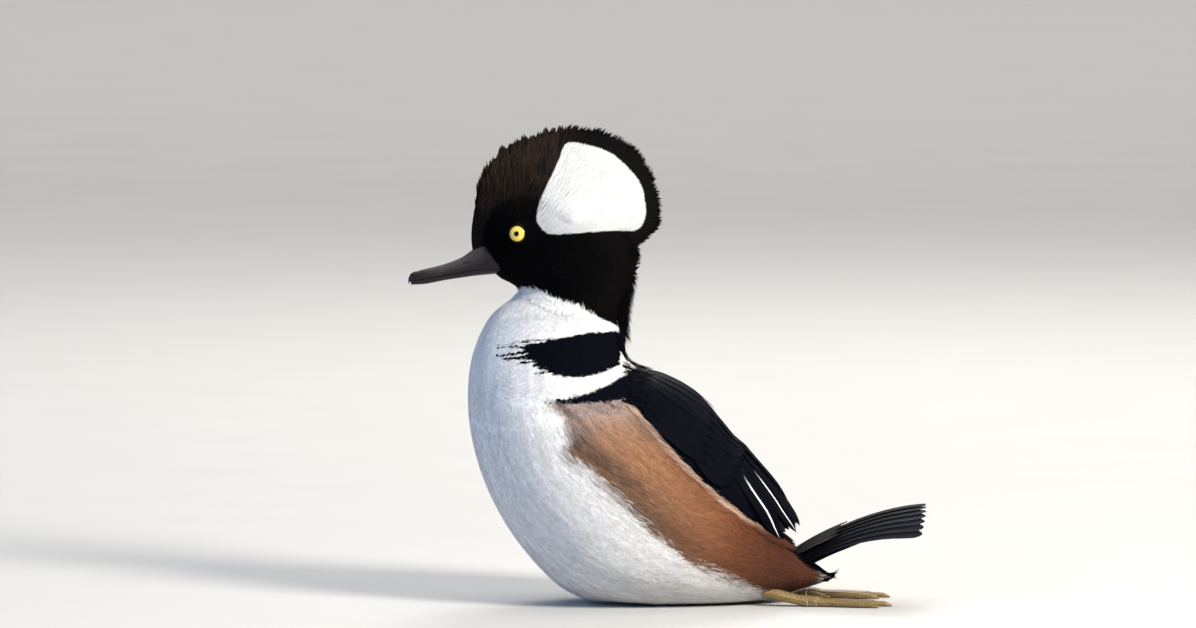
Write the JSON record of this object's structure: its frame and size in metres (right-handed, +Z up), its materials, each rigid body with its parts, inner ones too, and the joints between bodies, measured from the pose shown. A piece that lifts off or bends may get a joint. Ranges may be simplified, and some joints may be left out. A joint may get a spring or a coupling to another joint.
{
  "type": "hooded merganser model",
  "caption": "Life-size still model of a drake hooded merganser sitting on its belly, chest high, crest fanned, tail cocked, feet tucked under.",
  "frame": {"origin": "centre of the bounding box in plan, at the level that the belly and feet rest on", "axes": "+X towards the tail, so the bill points along -X; +Y towards the bird's right; +Z up"},
  "size_m": [0.2624, 0.1124, 0.2434],
  "materials": {
    "body_plumage": "soft close feathers: white breast and belly, black back and breast spurs, chestnut flanks",
    "head_plumage": "velvety brown-black feathers",
    "crest_plumage": "long loose feathers, white fan with a black rim",
    "wing_plumage": "smooth black flight feathers, tertials with white shaft stripes",
    "tail_plumage": "stiff dusky brown feathers",
    "bill": "satin black horn",
    "eye": "wet glossy eye, golden yellow iris, black pupil",
    "foot_skin": "scaly dull yellow-brown skin"
  },
  "bodies": {
    "root": {"torso": "body_plumage", "neck": "head_plumage", "head": "head_plumage", "crest": "crest_plumage", "bill_upper": "bill", "bill_lower": "bill", "eye_left": "eye", "eye_right": "eye", "wing_left": "wing_plumage", "wing_right": "wing_plumage", "tail": "tail_plumage", "leg_left": "foot_skin", "leg_right": "foot_skin", "foot_left": "foot_skin", "foot_right": "foot_skin"}
  },
  "joints": []
}
